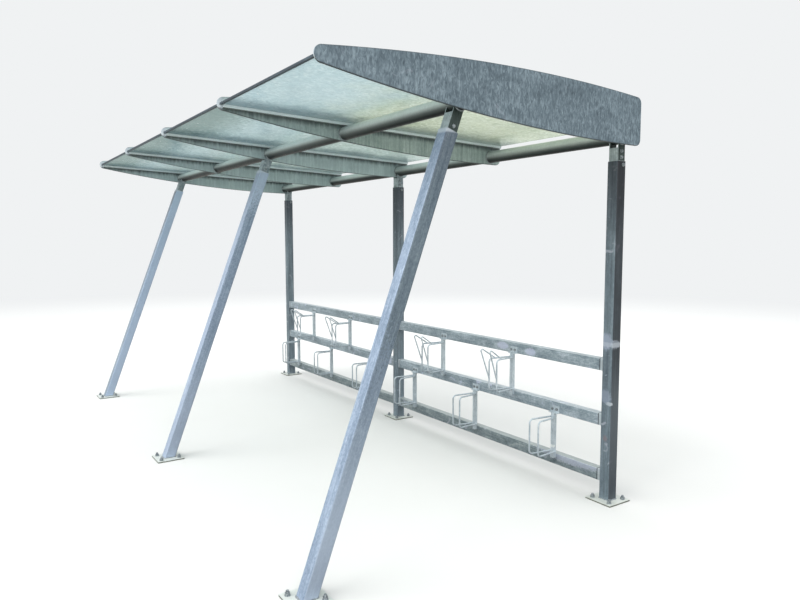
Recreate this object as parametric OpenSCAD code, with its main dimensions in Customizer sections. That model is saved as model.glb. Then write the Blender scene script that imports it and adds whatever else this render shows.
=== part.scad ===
/* [Plan] */
// Distance between neighbouring posts along the shelter
post_pitch = 2500; // [1800:10:3000]
// Distance between the front and rear foot centres
foot_span = 2197; // [1700:1:2600]

/* [Posts] */
// Outer width of the square posts
post_w = 80; // [60:1:100]
// Wall of the posts
post_wall = 4; // [3:0.5:6]
// Outer corner radius of the posts
post_r = 8.5; // [6:0.5:12]
// Distance from the front purlin's axis down to the cut end of a front post
front_end_drop = 162; // [120:1:220]
// Distance from the rear purlin's axis down to the top of a rear post
rear_end_drop = 150; // [120:1:220]

/* [Base plates] */
// Side of the square base plates
plate_w = 200; // [160:1:260]
// Thickness of the base plates
plate_t = 10; // [8:1:20]
// Distance between the anchor holes
hole_pitch = 135; // [120:1:160]
// Diameter of the anchor holes
hole_d = 18; // [12:1:22]

/* [Post heads] */
// Depth of the channel that stands in each post
head_d = 62; // [40:1:66]
// Wall of the channel
head_t = 6; // [4:1:8]
// Length of the channel inside the post
head_grip = 80; // [40:5:160]
// Distance from the purlin's axis down to the channel's front web
web_drop = 66; // [60:1:110]

/* [Purlins] */
// Outer diameter of the round purlins
purlin_d = 88.9; // [60:0.1:90]
// Wall of the purlins
purlin_wall = 4; // [3:0.5:6]
// Distance of the front purlin ahead of the rear one
purlin_set = 1295; // [1000:5:1600]
// Height of the rear purlin's axis
rear_purlin_z = 2360; // [2100:5:2700]
// Height of the front purlin above the rear one
purlin_rise = 71; // [55:1:90]

/* [Roof plates] */
// Distance of the end roof plates out from the end posts' axes
end_overhang = 92; // [60:1:200]
// Thickness of the roof plates
rafter_t = 10; // [8:1:16]
// Where the round nose begins, ahead of the rear purlin
nose_set = 2126; // [1900:1:2200]
// How far the plates reach behind the rear purlin
tail_set = 98; // [90:1:130]
// Radius of the two corners at the tail
tail_r = 40; // [20:1:44]
// Height of the top edge's crown above the rear purlin's axis
crown_rise = 279; // [250:1:340]
// Where the crown lies, ahead of the rear purlin
crown_set = 904; // [700:1:1200]
// Radius of the top edge
crown_arc = 12000; // [9000:100:16000]
// Depth of the bottom edge's lowest point below the rear purlin's axis
belly_drop = 58; // [56:1:70]
// Radius of the bottom edge
belly_arc = 12900; // [11000:100:13500]

/* [Glazing] */
// Thickness of the glass
glass_t = 8; // [6:1:12]
// Height of the glass underside at the nose above the rear purlin's axis
glass_rise = 170; // [165:1:178]
// Fall of the glass to the rear, in degrees
glass_fall = 2.1; // [2:0.1:2.4]
// Front edge of the glass, ahead of the rear purlin
glass_front = 2149; // [2000:1:2150]
// Rear edge of the glass, behind the rear purlin
glass_rear = 90; // [0:1:92]
// Gap between the glass and the roof plates
glass_gap = 4; // [2:1:8]
// How far the ledges stand out from the roof plates
ledge_w = 25; // [15:1:40]
// Height of the ledges
ledge_h = 17; // [8:1:20]
// Depth of the edge channel along the front of the glass
trim_d = 12; // [8:1:30]
// Wall of the edge channel
trim_wall = 2; // [1.5:0.5:3]

/* [Rails] */
// Height of a rail
rail_h = 80; // [60:1:100]
// Depth of a rail
rail_d = 60; // [40:1:76]
// Wall of a rail
rail_wall = 3; // [2:0.5:5]
// Corner radius of a rail
rail_r = 6; // [5:0.5:10]
// Thickness of the plate that closes each rail end
rail_end_t = 6; // [4:1:12]
// Underside of the bottom rail
bottom_rail_z = 121; // [100:1:160]
// Underside of the middle rail
middle_rail_z = 495; // [460:1:520]
// Underside of the top rail
top_rail_z = 862; // [830:1:900]

/* [Wheel holders] */
// Distance from a bay's left post axis to its first holder
holder_first = 333; // [200:1:400]
// Distance between neighbouring holders
holder_pitch = 430; // [380:1:460]
// Width of the upright bar
bar_w = 30; // [20:1:40]
// Depth of the upright bar
bar_d = 25; // [15:1:40]
// Wall of the upright bar
bar_wall = 2; // [1.5:0.5:3]
// Width of the angle that bolts a holder to the rail above it
angle_w = 80; // [60:1:110]
// Height of the angle's upright leg
angle_h = 50; // [40:1:60]
// Thickness of the angle
angle_t = 5; // [4:0.5:8]
// How far the bar laps the rail below it
bar_lap_low = 30; // [20:1:70]
// Diameter of the bent rod
rod_d = 12; // [8:1:16]
// Distance between the two hoops of a holder
hoop_gap = 84; // [60:1:110]
// How far the hoops stand ahead of the rails
hoop_reach = 196; // [140:1:260]
// Distance from the upper rail down to the hoops' upper arms
hoop_top_drop = 28; // [10:1:60]
// Distance from the lower rail up to the hoops' lower arms
hoop_low_rise = 18; // [10:1:60]
// Radius of the bends in the rod
bend_r = 28; // [14:1:40]

/* [Wheel guides of the high holders] */
// Diameter of the guides' rod
guide_d = 10; // [6:1:11]
// How far a guide stands ahead of its hoop
guide_reach = 85; // [40:1:110]
// How far a guide rises above its hoop
guide_rise = 92; // [60:1:130]
// How far behind the hoop's corner the guide's upper leg ends
guide_root = 56; // [50:1:100]
// How far below the hoop's corner the guide's lower leg ends
guide_drop = 150; // [100:1:160]
// Radius of the bend at the guide's tip
tip_r = 12; // [8:1:20]
// How much thicker the bend is than the legs that run into it
tip_swell = 1; // [0.5:0.5:2]

/* [Hidden] */
// Clearance between pieces that fit together
fit = 0.3;
// How far welded parts run into each other
weld = 1;
SMOOTH = 48;
ARC_STEPS = 18;
CORNER_STEPS = 8;
BIG = 400;

BAYS = 2;
RAFTERS = 2 * BAYS + 1;
rear_y = foot_span / 2;
front_y = -foot_span / 2;
front_purlin_y = rear_y - purlin_set;
front_purlin_z = rear_purlin_z + purlin_rise;
crown_z = rear_purlin_z + crown_rise;
belly_z = rear_purlin_z - belly_drop;
glass_front_z = rear_purlin_z + glass_rise;
post_in = post_w - 2 * post_wall;
head_w = post_in - 2 * fit;
lean = atan((front_purlin_y - front_y) / front_purlin_z);
front_axis_len = front_purlin_z / cos(lean);
rafter_pitch = post_pitch / 2 + end_overhang / BAYS;
purlin_len = (RAFTERS - 1) * rafter_pitch - rafter_t - 2 * fit;
rail_len = post_pitch - post_w - 2 * fit;
pane_w = rafter_pitch - rafter_t - 2 * glass_gap;
glass_len = (glass_front + glass_rear) / cos(glass_fall);
ledge_from = trim_d + glass_gap;
ledge_len = glass_len - ledge_from;
trim_h = glass_t + 2 * fit + 2 * trim_wall;
hoop_root = (bar_w + rod_d) / 2 - weld;
hoop_yaw = atan((hoop_gap / 2 - hoop_root) / hoop_reach);
steel = "#8b99a3";
shaded_steel = "#76838b";
rail_steel = "#9aa6ad";
pale_green_glass = "#a9c4c0";
dark_edge = "#4f585d";

function post_x(i) = (i - 2) * post_pitch;
function rafter_x(i) = (i - 3) * rafter_pitch;
function pane_x(i) = (i - 2.5) * rafter_pitch;
function bay_x(b) = (b - 1.5) * post_pitch;
function holder_x(b, k) = post_x(b) + holder_first + k * holder_pitch;

// Height of the roof plate's top and bottom edges at a distance y from the rear purlin
function crown(y) = crown_z - crown_arc + sqrt(pow(crown_arc, 2) - pow(y + crown_set, 2));
function belly(y) = belly_z + belly_arc - sqrt(pow(belly_arc, 2) - pow(y - tail_set, 2));
function arc(c, r, from, to, n) =
    [for (i = [0:n]) let (a = from + (to - from) * i / n) c + r * [cos(a), sin(a)]];
function along(from, to, n) = [for (i = [0:n]) from + (to - from) * i / n];

// Square or oblong section with true round corners
module round_section(w, d, r) {
    square([w - 2 * r, d], center = true);
    square([w, d - 2 * r], center = true);
    for (x = [-1, 1], y = [-1, 1])
        translate([x * (w / 2 - r), y * (d / 2 - r)])
            circle(r = r, $fn = SMOOTH);
}

module hollow_section(w, d, r, wall) {
    difference() {
        round_section(w, d, r);
        round_section(w - 2 * wall, d - 2 * wall, r - wall);
    }
}

module base_plate() {
    difference() {
        linear_extrude(plate_t)
            square(plate_w, center = true);
        for (x = [-1, 1], y = [-1, 1])
            translate([x * hole_pitch / 2, y * hole_pitch / 2, -1])
                cylinder(d = hole_d, h = plate_t + 2, $fn = SMOOTH);
    }
}

// Places its children on the front posts' leaning axis, from the foot upwards
module on_front_axis(x) {
    translate([x, front_y, 0])
        rotate([-lean, 0, 0])
            children();
}

module front_post(x) {
    color(steel) {
        translate([x, front_y, 0])
            base_plate();
        difference() {
            on_front_axis(x)
                translate([0, 0, -BIG / 2])
                    linear_extrude(front_axis_len - front_end_drop + BIG / 2)
                        hollow_section(post_w, post_w, post_r, post_wall);
            translate([x - BIG, front_y - BIG, plate_t - 2 * BIG])
                cube([2 * BIG, 2 * BIG, 2 * BIG]);
        }
    }
}

module rear_post(x) {
    color(shaded_steel)
        translate([x, rear_y, 0]) {
            base_plate();
            translate([0, 0, plate_t])
                linear_extrude(rear_purlin_z - rear_end_drop - plate_t)
                    hollow_section(post_w, post_w, post_r, post_wall);
        }
}

// Channel that stands in a post and carries the purlin, measured along the post's axis
module head(top, end_drop) {
    difference() {
        translate([0, 0, top - end_drop - head_grip])
            linear_extrude(end_drop + head_grip)
                difference() {
                    square([head_w, head_d], center = true);
                    translate([0, head_t])
                        square([head_w - 2 * head_t, head_d], center = true);
                }
        translate([-head_w, 0, top])
            rotate([0, 90, 0])
                cylinder(d = purlin_d + 2 * fit, h = 2 * head_w, $fn = 2 * SMOOTH);
        translate([0, 0, top - web_drop + BIG / 2])
            cube([head_w - 2 * head_t, 2 * head_d, BIG], center = true);
    }
}

module front_head(x) {
    color(dark_edge)
        on_front_axis(x)
            head(front_axis_len, front_end_drop);
}

module rear_head(x) {
    color(dark_edge)
        translate([x, rear_y, 0])
            head(rear_purlin_z, rear_end_drop);
}

module purlin(y, z) {
    color(steel)
        translate([-purlin_len / 2, y, z])
            rotate([0, 90, 0])
                difference() {
                    cylinder(d = purlin_d, h = purlin_len, $fn = 2 * SMOOTH);
                    translate([0, 0, -1])
                        cylinder(d = purlin_d - 2 * purlin_wall, h = purlin_len + 2, $fn = 2 * SMOOTH);
                }
}

// Outline of a roof plate, with y measured from the rear purlin
module roof_outline() {
    nose_y = -nose_set;
    nose_r = (crown(nose_y) - belly(nose_y)) / 2;
    nose_z = (crown(nose_y) + belly(nose_y)) / 2;
    tail_y = tail_set - tail_r;
    ys = along(nose_y, tail_y, ARC_STEPS);
    polygon(concat(
        [for (y = ys) [y, crown(y)]],
        arc([tail_y, crown(tail_y) - tail_r], tail_r, 85, 0, CORNER_STEPS),
        arc([tail_y, belly(tail_y) + tail_r], tail_r, 0, -85, CORNER_STEPS),
        [for (i = [0:ARC_STEPS]) [ys[ARC_STEPS - i], belly(ys[ARC_STEPS - i])]],
        arc([nose_y, nose_z], nose_r, 265, 95, 2 * CORNER_STEPS)));
}

// Places its children on the underside of the glass: y runs down the fall from the front edge
module on_glass() {
    translate([0, rear_y - glass_front, glass_front_z])
        rotate([-glass_fall, 0, 0])
            children();
}

// A roof plate with the ledges that carry the glass on the sides that have a pane
module roof_plate(i) {
    color(steel) {
        difference() {
            union() {
                translate([rafter_x(i) - rafter_t / 2, rear_y, 0])
                    rotate([90, 0, 90])
                        linear_extrude(rafter_t)
                            roof_outline();
                for (side = [-1, 1])
                    if ((side < 0 && i > 1) || (side > 0 && i < RAFTERS))
                        ledge(rafter_x(i), side);
            }
            purlin_bore(i, front_purlin_y, front_purlin_z);
            purlin_bore(i, rear_y, rear_purlin_z);
        }
    }
}

module ledge(x, side) {
    on_glass()
        translate([x + side * (rafter_t + ledge_w - weld) / 2, ledge_from + ledge_len / 2,
                   -fit - ledge_h / 2])
            cube([ledge_w + weld, ledge_len, ledge_h], center = true);
}

// Room for a purlin, which passes through the inner plates and stops at the end plates
module purlin_bore(i, y, z) {
    reach = rafter_t / 2 + ledge_w + weld;
    from = i == 1 ? rafter_t / 2 : -reach;
    to = i == RAFTERS ? -rafter_t / 2 : reach;
    translate([rafter_x(i) + from, y, z])
        rotate([0, 90, 0])
            cylinder(d = purlin_d + 2 * fit, h = to - from, $fn = 2 * SMOOTH);
}

module glass_pane(i) {
    color(pale_green_glass, 0.6)
        on_glass()
            translate([pane_x(i) - pane_w / 2, 0, 0])
                cube([pane_w, glass_len, glass_t]);
}

// Channel along the front edge of a pane, open to the rear
module glass_edge(i) {
    color(dark_edge)
        on_glass()
            translate([pane_x(i), 0, 0])
                difference() {
                    translate([-pane_w / 2, -trim_wall - fit, -trim_wall - fit])
                        cube([pane_w, trim_d + trim_wall, trim_h]);
                    translate([-pane_w / 2 - 1, -fit, -fit])
                        cube([pane_w + 2, trim_d + 2, glass_t + 2 * fit]);
                }
}

module rail(b, z) {
    color(rail_steel)
        translate([bay_x(b), rear_y, z + rail_h / 2])
            rotate([90, 0, 90]) {
                linear_extrude(rail_len - 2 * rail_end_t + weld, center = true)
                        hollow_section(rail_d, rail_h, rail_r, rail_wall);
                for (end = [-1, 1])
                    translate([0, 0, end * (rail_len - rail_end_t) / 2])
                        linear_extrude(rail_end_t, center = true)
                            square([rail_d, rail_h], center = true);
            }
}

// Straight rod of diameter d between two points of the plane x = 0
module rod(p, q, d) {
    way = q - p;
    translate([0, p[0], p[1]])
        rotate([atan2(way[1], way[0]) - 90, 0, 0])
            cylinder(d = d, h = norm(way), $fn = SMOOTH / 2);
}

// Direction of the leg that ends at point i, the turn there, and what a bend of radius r takes off each leg
function leg(pts, i) = (pts[i] - pts[i - 1]) / norm(pts[i] - pts[i - 1]);
function turn(pts, i) = let (a = leg(pts, i), b = leg(pts, i + 1)) atan2(cross(a, b), a * b);
function setback(pts, i, r) =
    i == 0 || i == len(pts) - 1 ? 0 : r * tan(abs(turn(pts, i)) / 2);

// Rod in the plane x = 0 along the points, each given as [y, z], with a bend of radius r at each corner.
// Where swell is more than 0, the bends are that much thicker and the legs run into them
module bent_rod(pts, d, r, swell = 0) {
    lap = swell > 0 ? weld : 0;
    for (i = [1:len(pts) - 1])
        rod(pts[i - 1] + max(setback(pts, i - 1, r) - lap, 0) * leg(pts, i),
            pts[i] - max(setback(pts, i, r) - lap, 0) * leg(pts, i), d);
    for (i = [1:len(pts) - 2]) {
        t = turn(pts, i);
        inward = sign(t) * [-leg(pts, i)[1], leg(pts, i)[0]];
        centre = pts[i] - setback(pts, i, r) * leg(pts, i) + r * inward;
        translate([0, centre[0], centre[1]])
            rotate([90, 0, 90])
                rotate([0, 0, atan2(-inward[1], -inward[0]) + min(t, 0)])
                    rotate_extrude(angle = abs(t), $fn = SMOOTH)
                        translate([r, 0])
                            circle(d = d + swell, $fn = SMOOTH / 2);
    }
}

// Open bracket that reaches forward along -y between two heights
module hoop(low, top) {
    bent_rod([[0, top], [-hoop_reach, top], [-hoop_reach, low], [0, low]], rod_d, bend_r);
}

// Beak that leads a wheel down into the hoops, from the hoop's upper arm to its upright
module guide(top) {
    bent_rod([[guide_root - hoop_reach, top],
              [-hoop_reach - guide_reach, top + guide_rise],
              [-hoop_reach, top - guide_drop]], guide_d, tip_r, tip_swell);
}

// Upright bar across the gap between two rails, with a pair of hoops for a wheel
// and an angle at its top that stands on the bar and lies against the rail
module holder(x, low_rail_z, high_rail_z, guided) {
    low = low_rail_z + rail_h - bar_lap_low;
    high = high_rail_z + weld;
    arm_top = high_rail_z - hoop_top_drop;
    arm_low = low_rail_z + rail_h + hoop_low_rise;
    color(rail_steel)
        translate([x, rear_y - rail_d / 2 - fit, 0]) {
            translate([0, -bar_d / 2, low])
                linear_extrude(high - low)
                    difference() {
                        square([bar_w, bar_d], center = true);
                        square([bar_w - 2 * bar_wall, bar_d - 2 * bar_wall], center = true);
                    }
            translate([-angle_w / 2, -bar_d, high_rail_z])
                cube([angle_w, bar_d, angle_t]);
            translate([-angle_w / 2, -angle_t, high_rail_z])
                cube([angle_w, angle_t, angle_h]);
            for (side = [-1, 1])
                translate([side * hoop_root, -bar_d / 2, 0])
                    rotate([0, 0, side * hoop_yaw]) {
                        hoop(arm_low, arm_top);
                        if (guided)
                            guide(arm_top);
                    }
        }
}

module low_holder(b, k) {
    holder(holder_x(b, k), bottom_rail_z, middle_rail_z, false);
}

module high_holder(b, k) {
    holder(holder_x(b, k), middle_rail_z, top_rail_z, true);
}

front_post(post_x(1));  // front_post_1
front_post(post_x(2));  // front_post_2
front_post(post_x(3));  // front_post_3
rear_post(post_x(1));  // rear_post_1
rear_post(post_x(2));  // rear_post_2
rear_post(post_x(3));  // rear_post_3
front_head(post_x(1));  // front_head_1
front_head(post_x(2));  // front_head_2
front_head(post_x(3));  // front_head_3
rear_head(post_x(1));  // rear_head_1
rear_head(post_x(2));  // rear_head_2
rear_head(post_x(3));  // rear_head_3
purlin(front_purlin_y, front_purlin_z);  // front_purlin
purlin(rear_y, rear_purlin_z);  // rear_purlin
roof_plate(1);  // roof_plate_1
roof_plate(2);  // roof_plate_2
roof_plate(3);  // roof_plate_3
roof_plate(4);  // roof_plate_4
roof_plate(5);  // roof_plate_5
glass_pane(1);  // glass_pane_1
glass_pane(2);  // glass_pane_2
glass_pane(3);  // glass_pane_3
glass_pane(4);  // glass_pane_4
glass_edge(1);  // glass_edge_1
glass_edge(2);  // glass_edge_2
glass_edge(3);  // glass_edge_3
glass_edge(4);  // glass_edge_4
rail(1, top_rail_z);  // top_rail_1
rail(2, top_rail_z);  // top_rail_2
rail(1, middle_rail_z);  // middle_rail_1
rail(2, middle_rail_z);  // middle_rail_2
rail(1, bottom_rail_z);  // bottom_rail_1
rail(2, bottom_rail_z);  // bottom_rail_2
low_holder(1, 0);  // low_holder_1
low_holder(1, 2);  // low_holder_2
low_holder(1, 4);  // low_holder_3
low_holder(2, 0);  // low_holder_4
low_holder(2, 2);  // low_holder_5
low_holder(2, 4);  // low_holder_6
high_holder(1, 1);  // high_holder_1
high_holder(1, 3);  // high_holder_2
high_holder(2, 1);  // high_holder_3
high_holder(2, 3);  // high_holder_4
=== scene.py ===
"""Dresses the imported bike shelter: zinc finishes, a clouded glass roof, and the bolts, welds and
sealant that hold it together. Sizes are in metres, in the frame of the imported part."""

import logging
import math
from dataclasses import dataclass
from enum import Enum

import bpy
import numpy as np
from mathutils import Matrix, Vector


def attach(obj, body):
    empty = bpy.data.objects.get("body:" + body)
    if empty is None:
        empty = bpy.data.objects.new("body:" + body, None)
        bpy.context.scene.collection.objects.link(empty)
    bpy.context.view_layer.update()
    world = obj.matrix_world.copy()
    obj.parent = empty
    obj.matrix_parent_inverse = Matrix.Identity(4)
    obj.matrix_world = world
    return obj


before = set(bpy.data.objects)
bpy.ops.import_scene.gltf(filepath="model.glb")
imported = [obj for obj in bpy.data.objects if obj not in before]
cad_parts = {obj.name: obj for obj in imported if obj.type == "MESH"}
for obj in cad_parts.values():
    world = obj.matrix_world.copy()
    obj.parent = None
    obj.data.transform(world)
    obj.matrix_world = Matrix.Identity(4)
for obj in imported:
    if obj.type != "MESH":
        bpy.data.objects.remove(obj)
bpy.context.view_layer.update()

LOG = logging.getLogger("shelter")
MM = 0.001
BODY = "root"

Array = np.ndarray
Material = bpy.types.Material
Socket = bpy.types.NodeSocket
Colour = tuple[float, float, float]
Triple = tuple[float, float, float]
Pair = tuple[float, float]
Sockets = dict[str | int, object]

END: Triple = (1.0, 0.0, 0.0)
FRONT: Triple = (0.0, -1.0, 0.0)
TOP: Triple = (0.0, 0.0, 1.0)
DOWN: Triple = (0.0, 0.0, -1.0)
SIDES: Pair = (-1.0, 1.0)
RIPPLE = 0.0045  # length of a ripple in a weld
WELD_SHARP = 60.0  # angle in degrees past which a weld's edge stays sharp
CRYSTAL_WAVER = 0.7  # how far the crystals' borders wander, in sizes of a crystal


def seen(red: int, green: int, blue: int) -> Colour:
    """Linear colour of a screen colour given from 0 to 255."""
    screen = np.array([red, green, blue]) / 255.0
    return tuple(np.where(screen < 0.04045, screen / 12.92, ((screen + 0.055) / 1.055) ** 2.4))


# ---- shader maths


class Graph:
    """A node tree while its nodes are being joined."""

    def __init__(self, tree: bpy.types.NodeTree) -> None:
        """Empties the tree, ready for new nodes."""
        self.tree = tree
        self.tree.nodes.clear()

    def node(self, kind: str, sockets: Sockets | None = None, **settings: object) -> bpy.types.Node:
        """Adds a node.

        Args:
            kind: the node's type, such as Math.
            sockets: values or links for its inputs, by name or number.
            settings: its properties.

        Returns:
            The new node.
        """
        made = self.tree.nodes.new("ShaderNode" + kind)
        for key, value in settings.items():
            setattr(made, key, value)
        for key, value in (sockets or {}).items():
            socket = made.inputs[key]
            if isinstance(value, Signal):
                value = value.socket
            if isinstance(value, Socket):
                self.tree.links.new(value, socket)
            elif socket.type == "RGBA" and len(value) == 3:
                socket.default_value = (*value, 1.0)
            else:
                socket.default_value = value
        return made

    def out(self, kind: str, sockets: Sockets | None = None, output: int | str = 0,
            **settings: object) -> Socket:
        """Adds a node and returns one of its outputs."""
        return self.node(kind, sockets, **settings).outputs[output]

    def value(self, *node: object, **settings: object) -> "Signal":
        """Adds a node, as out does, and returns its output as a value."""
        return Signal(self, self.out(*node, **settings))

    def maths(self, operation: str, *values: object) -> "Signal":
        """Result of a Math node on the values."""
        return self.value("Math", dict(enumerate(values)), operation=operation)

    def vector(self, operation: str, *values: object) -> Socket:
        """Vector that a Vector Math node makes of the values."""
        return self.out("VectorMath", dict(enumerate(values)), operation=operation)

    def measure(self, operation: str, *values: object) -> "Signal":
        """Number that a Vector Math node makes of the values."""
        return self.value("VectorMath", dict(enumerate(values)), "Value", operation=operation)

    def band(self, value: "Signal", low: float, high: float) -> "Signal":
        """Rises smoothly from 0 at low to 1 at high; falls where low is above high."""
        flipped = low > high
        return self.value("MapRange",
                          {"Value": value, "From Min": min(low, high), "From Max": max(low, high),
                           "To Min": float(flipped), "To Max": float(not flipped)},
                          interpolation_type="SMOOTHSTEP")

    def mix(self, factor: object, first: object, second: object, blend: str = "MIX") -> Socket:
        """Mixes two colours."""
        return self.out("Mix", {0: factor, 6: first, 7: second}, 2,
                        data_type="RGBA", blend_type=blend)

    def blend_shaders(self, factor: object, first: Socket, second: Socket) -> Socket:
        """Mixes two shaders: factor 0 gives the first and 1 the second."""
        return self.out("MixShader", {0: factor, 1: first, 2: second})


class Signal:
    """A value that varies over a surface. An expression on it adds Math nodes."""

    def __init__(self, graph: Graph, socket: Socket) -> None:
        """Wraps an output socket of a graph."""
        self.graph = graph
        self.socket = socket

    def __add__(self, other: object) -> "Signal":
        """This value plus another."""
        return self.graph.maths("ADD", self, other)

    def __sub__(self, other: object) -> "Signal":
        """This value less another."""
        return self.graph.maths("SUBTRACT", self, other)

    def __rsub__(self, other: object) -> "Signal":
        """Another value less this one."""
        return self.graph.maths("SUBTRACT", other, self)

    def __mul__(self, other: object) -> "Signal":
        """This value times another."""
        return self.graph.maths("MULTIPLY", self, other)

    def __pow__(self, other: object) -> "Signal":
        """This value raised to a power."""
        return self.graph.maths("POWER", self, other)

    def __mod__(self, other: object) -> "Signal":
        """What is left of this value after whole steps of another."""
        return self.graph.maths("FLOORED_MODULO", self, other)

    def __abs__(self) -> "Signal":
        """This value without its sign."""
        return self.graph.maths("ABSOLUTE", self)

    def clamped(self) -> "Signal":
        """This value held between 0 and 1."""
        return self.graph.value("Clamp", {"Value": self})


class Paint(Graph):
    """A material while its nodes are being joined, on Object coordinates."""

    def __init__(self, name: str, turn: float = 0.0) -> None:
        """Starts a material.

        Args:
            name: the material's name.
            turn: angle in radians that turns the pattern about x, for leaning pieces.
        """
        self.material = bpy.data.materials.new(name)
        self.material.use_nodes = True
        super().__init__(self.material.node_tree)
        self.place = self.out("TexCoord", None, "Object")
        self.lie = self.place
        if turn:
            self.lie = self.out("Mapping", {"Vector": self.place, "Rotation": (turn, 0.0, 0.0)})

    def across(self, axis: int) -> Signal:
        """The place along x, y or z, for axis 0, 1 or 2."""
        return self.value("SeparateXYZ", {0: self.place}, axis)

    def spread(self, size: Triple, shift: float = 0.0) -> Socket:
        """The place in steps of a size, moved by a shift."""
        return self.vector("MULTIPLY_ADD", self.lie, tuple(1.0 / s for s in size), (shift,) * 3)

    def noise(self, size: Triple, detail: float = 2.0, distort: float = 0.0,
              shift: float = 0.0) -> Signal:
        """Cloudy value from about 0.25 to 0.75.

        Args:
            size: how large its clouds are along the piece's x, y and z.
            detail: how many finer layers it has.
            distort: how much it is swirled.
            shift: moves the pattern, so that two of the same size differ.

        Returns:
            The value.
        """
        return self.value("TexNoise",
                          {"Vector": self.spread(size, shift), "Scale": 1.0, "Detail": detail,
                           "Roughness": 0.55, "Distortion": distort}, "Fac")

    def cells(self, size: Triple) -> Signal:
        """Value from 0 to 1 that is constant in each crystal of the zinc.

        Args:
            size: how large the crystals are along the piece's x, y and z.

        Returns:
            The value.
        """
        spread = self.spread(size)
        wander = self.out("TexNoise", {"Vector": spread, "Scale": 1.7, "Detail": 2.0}, "Color")
        moved = self.vector("MULTIPLY_ADD", wander, (CRYSTAL_WAVER,) * 3, spread)
        made = self.out("TexVoronoi", {"Vector": moved, "Scale": 1.0}, "Color", feature="F1")
        return self.value("SeparateColor", {0: made})

    def facing(self, way: Triple) -> Signal:
        """Cosine of the angle between a face's normal and the way."""
        return self.measure("DOT_PRODUCT", self.out("NewGeometry", None, "Normal"), way)

    def ramp(self, value: Signal, *colours: Colour) -> Socket:
        """Colour that follows a value through evenly spaced colours.

        Args:
            value: the value, from 0 to 1.
            colours: the colours, two or more.

        Returns:
            The colour.
        """
        made = self.node("ValToRGB", {0: value})
        stops = made.color_ramp.elements
        for _ in colours[2:]:
            stops.new(1.0)
        for k, colour in enumerate(colours):
            stops[k].position = k / (len(colours) - 1)
            stops[k].color = (*colour, 1.0)
        return made.outputs[0]

    def coat(self, colour: object, rough: object, height: Signal | None = None,
             relief: Pair = (0.0, 0.0), metal: float = 0.0, mirror: float = 0.5) -> Socket:
        """Opaque surface.

        Args:
            colour: its colour.
            rough: its roughness.
            height: what its relief follows, or None for a smooth surface.
            relief: the relief's strength and its depth in metres.
            metal: its share of metal.
            mirror: its specular level.

        Returns:
            The shader.
        """
        sockets = {"Base Color": colour, "Metallic": metal, "Roughness": rough,
                   "Specular IOR Level": mirror}
        if height is not None:
            sockets["Normal"] = self.out("Bump", {
                "Strength": relief[0], "Distance": relief[1], "Height": height})
        return self.out("BsdfPrincipled", sockets)

    def close(self, shader: Socket) -> Material:
        """Joins a shader to the material's output and returns the material."""
        self.node("OutputMaterial", {"Surface": shader})
        return self.material


# ---- finishes


@dataclass(frozen=True)
class Layer:
    """A colour laid over a finish, or multiplied into it.

    A way keeps it to the faces that look that way, from the cosine `low` up to `high`, and
    `within` keeps it off the shelter's two ends, past that distance from the middle.
    """

    colour: Colour
    share: float = 0.7
    shade: bool = False
    way: Triple | None = None
    low: float = 0.45
    high: float = 0.8
    within: float = 0.0

    def mask(self, paint: Paint) -> Signal | None:
        """Where the layer lies.

        Args:
            paint: the material that is being made.

        Returns:
            A value from 0 to 1, or None for everywhere.
        """
        return None

    def lay(self, paint: Paint, colour: Socket) -> Socket:
        """Mixes the layer into the colour so far.

        Args:
            paint: the material that is being made.
            colour: the colour so far.

        Returns:
            The new colour.
        """
        share, mask = self.share, self.mask(paint)
        if mask is not None:
            share = mask * share
        if self.way is not None:
            share = paint.band(paint.facing(self.way), self.low, self.high) * share
        if self.within:
            share = paint.band(abs(paint.across(0)), self.within, self.within - MM) * share
        return paint.mix(share, colour, self.colour, "MULTIPLY" if self.shade else "MIX")


@dataclass(frozen=True)
class Mark(Layer):
    """A spot, ring or stain: an oval with a ragged edge, of half sizes `reach`."""

    centre: Triple = (0.0, 0.0, 0.0)
    reach: Triple = (0.02, 0.02, 0.02)
    lump: Triple = (0.012, 0.012, 0.012)

    def mask(self, paint: Paint) -> Signal:
        """1 inside the oval and 0 outside it, by the distance from the centre in reaches."""
        off = paint.vector("SUBTRACT", paint.place, self.centre)
        far = paint.measure("LENGTH", paint.vector("DIVIDE", off, self.reach))
        return paint.band(paint.noise(self.lump, 3.0) - 0.5 + far, 1.1, 0.7)


@dataclass(frozen=True)
class Fade(Layer):
    """A change along one axis: nothing at start, all at full, and wavering by a ragged share."""

    axis: int = 2
    start: float = 0.0
    full: float = 1.0
    ragged: float = 0.0
    lump: Triple = (0.03, 0.03, 0.03)

    def mask(self, paint: Paint) -> Signal:
        """A smooth rise along the axis."""
        place = paint.across(self.axis)
        if self.ragged:
            waver = paint.noise(self.lump, 4.0, 0.5, 17.0) - 0.5
            place = place + waver * (2 * self.ragged * abs(self.full - self.start))
        return paint.band(place, self.start, self.full)


@dataclass(frozen=True)
class Ends(Layer):
    """A strip beside every post, between two distances from the post's middle."""

    pitch: float = 2.5
    near: float = 0.0
    far: float = 0.06
    soft: float = 0.003

    def mask(self, paint: Paint) -> Signal:
        """A rise just before near and a fall just after far."""
        half = self.pitch / 2
        off = abs((paint.across(0) + half) % self.pitch - half)
        return (paint.band(off, self.near - self.soft, self.near)
                * paint.band(off, self.far + self.soft, self.far))


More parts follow.
